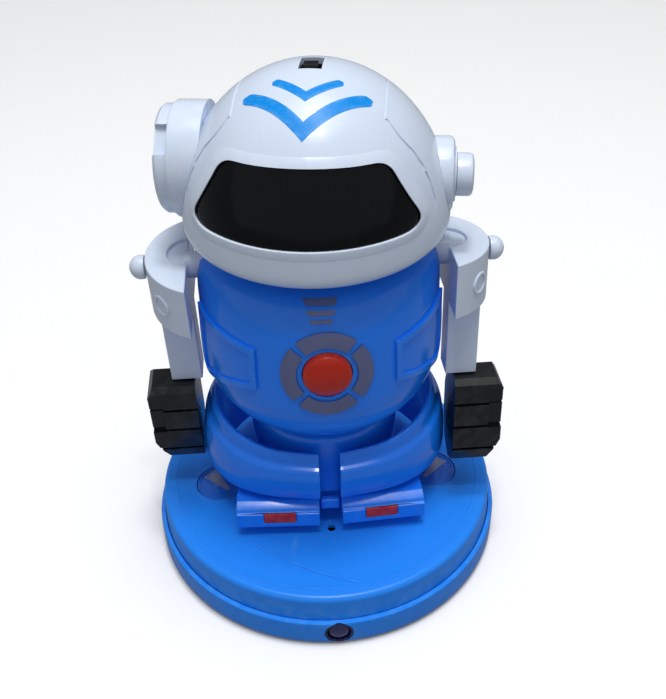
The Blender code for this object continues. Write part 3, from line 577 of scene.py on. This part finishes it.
sides = ((44.5, 114), (44.4, 123), (44.0, 130), (42.6, 134.2), (39.5, 136))
smooth_barrel = barrel_curve(5)


def flatter(z):
    """How deep the barrel is for its width: it leans back towards the shoulders."""
    return 1 - 0.07 * min(max((z - 92) / 38, 0), 1)


def radius_at(outline, z):
    """An outline's radius at a height."""
    for (near, low), (far, high) in zip(outline, outline[1:]):
        if low <= z <= high:
            return near + (far - near) * (z - low) / (high - low)
    return outline[-1][0] if z > outline[0][1] else outline[0][0]


def wider(z):
    """How wide the barrel is for its outline: its sides stay upright up to the shoulders."""
    if z < 114:
        return 1.0
    return radius_at(sides, z) / radius_at(smooth_barrel, z)


def on_barrel(degrees, z):
    """A point of the barrel's skin, so many degrees round from the front, and the way out of it."""
    turn = math.radians(degrees)
    radius = radius_at(smooth_barrel, z)
    above = min(z + 0.5, 135.9)
    slope = (radius_at(smooth_barrel, above) - radius_at(smooth_barrel, z - 0.5)) / (above - z + 0.5)
    slope *= math.cos(turn) ** 2
    out = Vector((math.sin(turn), -math.cos(turn), -slope)).normalized()
    return (radius * math.sin(turn) * wider(z), -radius * math.cos(turn) * flatter(z), z), out


def on_chest(x, z):
    """The point of the chest straight ahead of a place, and the way out of it."""
    return on_barrel(math.degrees(math.asin(x / wider(z) / radius_at(smooth_barrel, z))), z)


def side_panel(sign, inset):
    """Rows of the raised side panel, drawn in from its border by a distance."""
    rows = []
    for step in range(17):
        share = step / 16
        near, far = 32.5 + inset * 1.35, 76 - inset * 1.35
        degrees = near + (far - near) * share
        lean = (degrees - 32.5) / 53.5
        low = 101.5 - 12.5 * lean + inset
        high = 117.2 + 4.8 * lean - inset
        rows.append([on_barrel(sign * degrees, low + (high - low) * up / 8) for up in range(9)])
    return rows


for name, sign in (("front", 1), ("back", -1)):
    inner = [(radius - 1.8, min(max(z, 72.3), 134.2)) for radius, z in barrel_curve(2)]
    skin = [(6.4, 70.5)] + smooth_barrel + [(7.6, 136.0),
                                            (7.6, 134.2)] + list(reversed(inner)) + [(6.4, 72.3)]
    stock = turned(skin, 144)
    for vert in stock.verts:
        if vert.co.xy.length > 8:
            vert.co.x *= wider(vert.co.z)
            vert.co.y *= flatter(vert.co.z)
    half = blank(stock)
    machine(half, brick((200, 100, 200), (0, sign * (50 - half_seam), 100)))
    machine(half, drill(5.5, 200, (0, 0, shaft_z), "X", 32))
    if name == "front":
        for way in (1, -1):
            machine(half, sheet_on(side_panel(way, 0.0), 1.2, 1.9), "UNION")
            machine(half, sheet_on(side_panel(way, 2.4), 2.4, 2.1))
        machine(half, drill(8.8, 20, (0, -44, chest_z), "-Y", 64))
        machine(half, brick((200, 100, 200), (0, 50 - half_seam, 100)))
    break_edges(half, 0.3, 2, 50)
    seat(half, "torso_%s_half" % name, body_blue, "torso", ("torso_%s_shell" % name,))
for number, (low, high,
             width) in enumerate(((132.9, 134.4, 11.8), (130.5, 131.9, 10.0), (128.2, 129.5, 7.8))):
    rows = []
    for step in range(13):
        x = width * (step / 12 - 0.5)
        rows.append([on_chest(x * (1 - 0.06 * (3 - up)) - 1.2,
                              low + (high - low) * up / 3) for up in range(4)])
    ladder = blank(sheet_on(rows, 0.28, 0.5))
    seat(ladder, "chest_bar_%d" % (number + 1), silver_foil, "torso")
white_abs = finish_of("white_abs", shade_of(204, 216, 234), shade_of(228, 234, 244), 0.24, coat=0.15,
                      flow=0.02,
                      grain=(1300, 0.000003), dust=0.02)
paint(white_abs, "waist_spindle", "neck_post")


# ---------------------------------------------------------------- chest ring and button
# Four silver segments are foiled on a low raised ring, with diagonal gaps of bare blue between them. The
# orange button in the middle is a domed ABS cap that slides in its hole on a steel spring.
quarters = None
for quarter in range(4):
    rows = []
    for step in range(19):
        angle = math.radians(quarter * 90 - 40.5 + 81 * step / 18)
        row = []
        for reach in (10.5, 12.2, 14.0, 15.8):
            row.append(on_chest(reach * math.cos(angle), chest_z + reach * math.sin(angle)))
        rows.append(row)
    segment = blank(sheet_on(rows, 0.85, 0.6))
    break_edges(segment, 0.12, 2)
    if quarters:
        bm = bmesh.new()
        bm.from_mesh(quarters.data)
        bm.from_mesh(segment.data)
        bm.to_mesh(quarters.data)
        bm.free()
        bpy.data.objects.remove(segment)
    else:
        quarters = segment
seat(quarters, "chest_ring_segments", silver_foil, "torso", ("chest_ring",))
front = -on_chest(0, chest_z)[0][1]
cap = blank(turned(((0, front - 4), (8.5, front - 4), (8.5, front + 0.5), (8.2, front + 1.05),
                    (7.4, front + 1.6),
                    (5.8, front + 2.2), (3.6, front + 2.65), (1.8, front + 2.84), (0, front + 2.9)), 64,
                   "-Y"))
seat(cap, "push_button", orange, "button", ("chest_button",),
     Matrix.Translation((0, 0, chest_z)))


# ---------------------------------------------------------------- arms and hands
# Each arm is one white ABS moulding: a round shoulder cut flat towards the body, with a seat let into its top
# and a ring in its front, and a square upper arm. The fist is black ABS, pushed on and grooved for fingers.
shoulder_x, shoulder_round, shoulder_cut = 38.0, 24.0, 46.8


def shoulder_outline(sign):
    """Plan of the shoulder: a round with its inner side cut straight."""
    start = math.acos((shoulder_cut - shoulder_x) / shoulder_round)
    points = []
    for step in range(49):
        angle = -start + 2 * start * step / 48
        points.append((sign * (shoulder_x + shoulder_round * math.cos(angle)), shoulder_round * math.sin(angle)))
    return points


def swing_of(sign):
    """Where the arm hangs: one fist a little forward, the other a little back."""
    return Matrix.Translation((0, 0, shaft_z)) @ Matrix.Rotation(math.radians(-sign * 5), 4, "X")


for side, sign in side_of:
    arm = blank(bar_along(shoulder_outline(sign), -16.6, 4.8, "Z"))
    machine(arm, drill(8.5, 3.6, (sign * 45.7, 1.3, 5.1), steps=46))
    machine(arm, brick((12.0, 11, 38), (sign * 52.8, -3.5, -29.5)), "UNION")
    break_edges(arm, 1.1, 3, 60)
    machine(arm, drill(5.0, 12, (sign * 42, 0, 0), "X", 32), "UNION")
    corner = Matrix.Translation((sign * 38, 0, -6)) @ Matrix.Rotation(math.radians(sign * 50), 4, "Z")
    ring = turned(((3.0, 23.0), (4.3, 23.0), (4.3, 24.1), (4.0, 24.45), (3.4, 24.45), (3.0, 24.1)), 40, "-Y")
    ring.transform(corner)
    machine(arm, ring, "UNION")
    seat(arm, "arm_moulding_" + side, white_abs, "arm_" + side, ("arm_" + side,),
         swing_of(sign))
    nub = blank(turned(((0, 62.5), (4.2, 62.5), (4.4, 62.8), (4.4, 64.6), (4.1, 65.6), (3.4, 66.6),
                        (2.2, 67.5),
                        (1.1, 67.95), (0, 68.1)), 40, "X"))
    spin = Matrix.Rotation(math.radians(0 if sign > 0 else 180), 4, "Z")
    seat(nub, "shoulder_nub_" + side, white_abs, "arm_" + side, ("shoulder_cap_" + side,),
         swing_of(sign) @ spin)
    fist = ((-12.3, -49.0), (-1.5, -49.0), (3.5, -54.5), (6.5, -62.0), (6.5, -77.0), (2.5, -87.0),
            (-6.0, -91.0),
            (-13.5, -87.0), (-15.0, -82.5), (-15.3, -79.5), (-15.3, -60.8), (-15.0, -58.0), (-14.6, -51.0))
    low, high = sorted((sign * 49.9, sign * 68.8))
    hand = blank(bar_along(fist, low, high, "X"))
    knuckles = ((45.0, -45.0), (64.5, -45.0), (68.8, -53.0), (68.8, -77.0), (61.5, -93.0), (45.0, -93.0))
    machine(hand, bar_along([(sign * x, z) for x, z in knuckles], -20, 10, "Y"), "INTERSECT")
    for depth in (-59.5, -70.1, -81.0):
        machine(hand, brick((24, 3.6, 1.1), (sign * 60, -15.3, depth)))
        machine(hand, brick((2.2, 15, 1.1), (sign * 68.8, -9.5, depth)))
    for across in range(5):
        machine(hand, brick((0.9, 9, 8), (sign * (53.5 + 3.2 * across), -9.0, -91.5)))
    machine(hand, brick((7.4, 5, 18), (sign * 67.2, -16.4, -62.0)))
    break_edges(hand, 0.4, 2, 35)
    seat(hand, "fist_" + side, black_abs, "arm_" + side, ("hand_" + side,), swing_of(sign))


# ---------------------------------------------------------------- helmet
# The head is a white ABS helmet in two halves, flattened below, with a window for the visor, a low frame
# round it, a crease on each side of the brow, a slot in the crown and blue chevrons pad-printed on the forehead.
face_turn = Matrix.Rotation(math.radians(-9), 4, "Z")


brow_z = 150
helmet_round, helmet_rise, helmet_drop = 46.5, 51.8, 12.9


def helmet_outline(shrink, steps):
    """Half outline of the helmet from the neck up to the crown."""
    radius, up, down = helmet_round - shrink, helmet_rise - shrink, helmet_drop - shrink
    start = -math.acos(8.0 / radius)
    points = []
    for step in range(steps):
        angle = start + (math.pi / 2 - start) * step / steps
        points.append((radius * math.cos(angle), brow_z + (up if angle > 0 else down) * math.sin(angle)))
    return points + [(0, brow_z + up)]


def on_helmet(x, across, plan=False):
    """A point of the helmet's skin from its (x, z) in front, or (x, y) from above, and the way out."""
    if plan:
        z = brow_z + helmet_rise * math.sqrt(max(1 - (x * x + across * across) / helmet_round ** 2, 0))
        y = across
    else:
        z = across
        reach = helmet_rise if z > brow_z else helmet_drop
        y = -math.sqrt(max(helmet_round ** 2 * (1 - ((z - brow_z) / reach) ** 2) - x * x, 0))
    reach = helmet_rise if z > brow_z else helmet_drop
    out = Vector((x / helmet_round ** 2, y / helmet_round ** 2, (z - brow_z) / reach ** 2)).normalized()
    return Vector((x, y, z)), out


def window_outline(grow):
    """The visor window seen from the front, with round corners, drawn out all round by a distance."""
    corners = ((-38.9, 159.8, 8.0), (38.9, 159.8, 8.0), (25.4, 181.9, 4.4), (0, 183.2, 14),
               (-25.4, 181.9, 4.4))
    points = []
    for index, (x, z, reach) in enumerate(corners):
        here = Vector((x, z))
        before = (Vector(corners[index - 1][:2]) - here).normalized()
        after = (Vector(corners[(index + 1) % len(corners)][:2]) - here).normalized()
        for step in range(9):
            share = step / 8
            points.append(here + before * reach * (1 - share) ** 2 + after * reach * share ** 2)
    finer = []
    for near, far in zip(points, points[1:] + points[:1]):
        pieces = max(1, int((far - near).length / 2.5))
        finer += [near.lerp(far, step / pieces) for step in range(pieces)]
    grown = []
    for index, point in enumerate(finer):
        along = finer[(index + 1) % len(finer)] - finer[index - 1]
        grown.append(point + Vector((along.y, -along.x)).normalized() * grow)
    return grown


def crease_path(sign):
    """The crease on one side of the brow, from the back of the crown to the cheek."""
    path = []
    for step in range(13):
        path.append(on_helmet(sign * 24, 9 - 25 * step / 12, True)[0])
    corners = ((24.6, 190.2), (28.4, 185.8), (32.8, 181.0), (36.2, 176.0), (38.6, 171.0), (40.6, 165.0),
               (41.6, 158.0))
    for near, far in zip(corners, corners[1:]):
        for step in range(4):
            share = step / 4
            x, z = (n + (f - n) * share for n, f in zip(near, far))
            path.append(on_helmet(sign * x, z)[0])
    return path


def frame_round(inner, outer, height):
    """A low raised frame that follows the window on the helmet's curve."""
    bm = bmesh.new()
    loops = []
    for grow, lift in ((inner, -1.0), (inner, height), (outer - 1.5, height), (outer, 0.1), (outer, -1.0)):
        loop = []
        for point in window_outline(grow):
            place, out = on_helmet(point.x, point.y)
            loop.append(bm.verts.new(place + out * lift))
        loops.append(loop)
    for near, far in zip(loops, loops[1:] + loops[:1]):
        for index in range(len(near)):
            after = (index + 1) % len(near)
            bm.faces.new((near[index], near[after], far[after], far[index]))
    return bm


for name, sign in (("front", 1), ("back", -1)):
    shell = blank(turned(helmet_outline(0, 44) + list(reversed(helmet_outline(2.0, 30))), 144))
    machine(shell, brick((200, 200, 200), (0, 10 + sign * (100 - half_seam), brow_z)))
    if name == "front":
        machine(shell, frame_round(-0.1, 2.7, 0.45), "UNION")
        machine(shell, bar_along([tuple(point) for point in window_outline(0)], -80, -14, "Y"))
        machine(shell, brick((7.4, 11, 14), (0, 1.5, 201.8)))
        for way in (1, -1):
            machine(shell, strand(crease_path(way), 0.6, 8))
    break_edges(shell, 0.3, 2, 50)
    seat(shell, "helmet_%s_half" % name, white_abs, "head", ("helmet_%s_shell" % name,),
         face_turn)


def chevron(end, tip, half, bow):
    """Rows of one printed chevron: two bowed arms that meet in a point, with round ends."""
    centre = []
    steps = [*range(-20, -1), 0, *range(2, 21)]
    for step in steps:
        share = abs(step) / 20
        x = end[0] * share * (1 if step > 0 else -1)
        y = tip + (end[1] - tip) * share + bow * math.sin(share * math.pi)
        centre.append(Vector((x, y)))
    rows = []
    for index, point in enumerate(centre):
        along = centre[min(index + 1, len(steps) - 1)] - centre[max(index - 1, 0)]
        side = Vector((-along.y, along.x)).normalized()
        share = abs(steps[index]) / 20
        close = math.sqrt(max(1 - max((share - 0.9) / 0.1, 0) ** 2, 0.02))
        wide = half * close
        if steps[index] == 0:
            wide = half * 1.28
        rows.append([on_helmet(*(point + side * wide * across), True) for across in (-1, -0.5, 0, 0.5, 1)])
    return rows


print_blue = finish_of("pad_print_blue", shade_of(0, 134, 218), shade_of(120, 180, 235), 0.3, gloss=0.15,
                       wear=0.3,
                       grain=(2400, 0.000003))
for number, marks in enumerate((((20.0, -12.6), -28.2, 1.9, 0.7), ((10.9, -9.6), -17.6, 1.45, 0.1))):
    sign_print = blank(sheet_on(chevron(*marks), 0.1, 0.25))
    seat(sign_print, "chevron_%d" % (number + 1), print_blue, "head", place=face_turn)


# ---------------------------------------------------------------- visor
# A pane of near-black glossy polystyrene, curved like the helmet, is snapped into the window from inside.
gloss_black = finish_of("visor_black", shade_of(2, 4, 8), shade_of(50, 54, 60), 0.14, gloss=0.2, flow=0.2,
                        grain=(700, 0.000002), wear=0.1, dust=0.02, scuffs=0.6)
pane = blank(turned(helmet_outline(0.4, 44) + list(reversed(helmet_outline(1.9, 30))), 144))
machine(pane, bar_along([tuple(point) for point in window_outline(-0.3)], -80, -14, "Y"), "INTERSECT")
break_edges(pane, 0.2, 2, 50)
seat(pane, "visor_pane", gloss_black, "head", ("visor",), face_turn)


# ---------------------------------------------------------------- ears and crown switch
# The right ear is a large white drum with notches in its rim, the left one a stepped boss with a cap,
# both ABS, clipped on. A ribbed black slider stands in the crown slot.
def ear_blank(profile, height, sign):
    """A turned ear on its own axis, hollowed where it lies on the helmet."""
    stock = turned(profile, 72, "X")
    stock.transform(Matrix.Translation((0, 3, height)) @ Matrix.Rotation(0 if sign > 0 else math.pi, 4, "Z"))
    return blank(stock)


helmet_form = [(0, brow_z - helmet_drop)] + helmet_outline(-0.05, 40)
drum = ear_blank(((0, 36), (20, 36), (20, 46.5), (19.4, 47.4), (18.6, 47.6), (18.6, 50.8), (17.6, 52),
                  (9.5, 52),
                  (8.8, 51.2), (0, 51.2)), 167, -1)
machine(drum, turned(helmet_form, 96))
for notch in range(4):
    angle = math.radians(45 + 90 * notch)
    tool = brick((7.0, 10.5, 5.6), (-50.6, 0, 18.6))
    tool.transform(Matrix.Translation((0, 3, 167)) @ Matrix.Rotation(angle, 4, "X"))
    machine(drum, tool)
break_edges(drum, 0.45, 2, 45)
seat(drum, "ear_drum", white_abs, "head", ("ear_drum_right",), face_turn)
boss = ear_blank(((0, 40), (12.8, 40), (12.8, 45.4), (12.3, 46.4), (11.2, 46.9), (9.2, 47.1), (9.2, 47.6),
                  (0, 47.6)),
                 163, 1)
machine(boss, turned(helmet_form, 96))
break_edges(boss, 0.3, 2, 45)
seat(boss, "ear_boss", white_abs, "head", ("ear_boss_left",), face_turn)
ear_cap = ear_blank(((0, 47.9), (7.3, 47.9), (7.3, 52.0), (7.0, 52.9), (6.3, 53.4), (5.4, 53.6), (0, 53.6)),
                    163, 1)
seat(ear_cap, "ear_cap", white_abs, "head", ("ear_cap_left",), face_turn)
slider = blank(brick((4.6, 4.2, 6.0), (0, -1.2, 199.4)))
for rib in range(3):
    machine(slider, brick((6, 0.5, 0.8), (0, -2.3 + 1.1 * rib, 202.4)))
break_edges(slider, 0.3, 2)
seat(slider, "crown_slider", black_abs, "crown_switch", ("crown_switch_knob",), face_turn)


# ---------------------------------------------------------------- floor, light and camera
# A pale floor and sky look near-white to the camera but throw less light back on the toy. A broad soft light
# stands overhead with a small one beside it, a wide soft one and two small ones stand in front.
def seen_or_thrown(tree, shown, thrown, output):
    """Shows one shader to the camera and another to the light that bounces on."""
    rays = tree.nodes.new("ShaderNodeLightPath")
    either = tree.nodes.new("ShaderNodeMixShader")
    tree.links.new(rays.outputs["Is Camera Ray"], either.inputs[0])
    tree.links.new(thrown.outputs[0], either.inputs[1])
    tree.links.new(shown.outputs[0], either.inputs[2])
    tree.links.new(either.outputs[0], tree.nodes[output].inputs["Surface"])


floor_finish = finish_of("pale_floor", shade_of(250, 250, 250), shade_of(250, 250, 250), 0.6, scuffs=0.0,
                         wear=0.0,
                         dust=0.0, flow=0.005)
floor_tree = floor_finish.node_tree
bounce = floor_tree.nodes.new("ShaderNodeBsdfDiffuse")
bounce.inputs["Color"].default_value = (0.3, 0.31, 0.33, 1)
seen_or_thrown(floor_tree, floor_tree.nodes["Principled BSDF"], bounce, "Material Output")
floor = blank(brick((6000, 6000, 10), (0, 0, -5)))
floor.data.transform(Matrix.Scale(0.001, 4))
floor.name = "floor"
floor.data.materials.append(floor_finish)
world = bpy.data.worlds.new("studio")
world.use_nodes = True
world.node_tree.nodes["Background"].inputs["Color"].default_value = (0.94, 0.97, 1.0, 1)
world.node_tree.nodes["Background"].inputs["Strength"].default_value = 0.26
bpy.context.scene.world = world
bpy.context.scene.view_settings.view_transform = "Standard"
sky = world.node_tree
backdrop = sky.nodes.new("ShaderNodeBackground")
backdrop.inputs["Color"].default_value = (0.93, 0.94, 0.95, 1)
seen_or_thrown(sky, backdrop, sky.nodes["Background"], "World Output")
for name, kind, place, size, power in (("overhead", "SUN", (0.05, 0.02, 1.0), 0.7, 1.15),
                                       ("ceiling", "AREA", (0.04, -0.02, 1.1), 0.11, 3.0),
                                       ("window", "SUN", (-0.08, -0.75, 0.7), 2.5, 0.6),
                                       ("front_left", "AREA", (-0.07, -0.3, 1.15), 0.05, 0.9),
                                       ("front_right", "AREA", (0.09, -0.3, 1.15), 0.05, 0.9)):
    lamp_data = bpy.data.lights.new(name, kind)
    if kind == "SUN":
        lamp_data.angle = size
    else:
        lamp_data.size = size
    lamp_data.energy = power
    light = bpy.data.objects.new(name, lamp_data)
    light.location = place
    light.rotation_mode = "QUATERNION"
    light.rotation_quaternion = (Vector((0, 0, 0.1)) - Vector(place)).to_track_quat("-Z", "Y")
    bpy.context.scene.collection.objects.link(light)
eye = Vector((-0.0109, -0.2804, 0.3014))
aim = Vector((0.00447, 0, 0.08804))
camera_data = bpy.data.cameras.new("camera")
camera_data.lens = 46.35
camera_data.clip_start = 0.01
camera = bpy.data.objects.new("camera", camera_data)
camera.location = eye
camera.rotation_mode = "QUATERNION"
camera.rotation_quaternion = (aim - eye).to_track_quat("-Z", "Y") @ Quaternion((0, 0, 1),
                                                                               math.radians(-1.547))
bpy.context.scene.collection.objects.link(camera)
bpy.context.scene.camera = camera
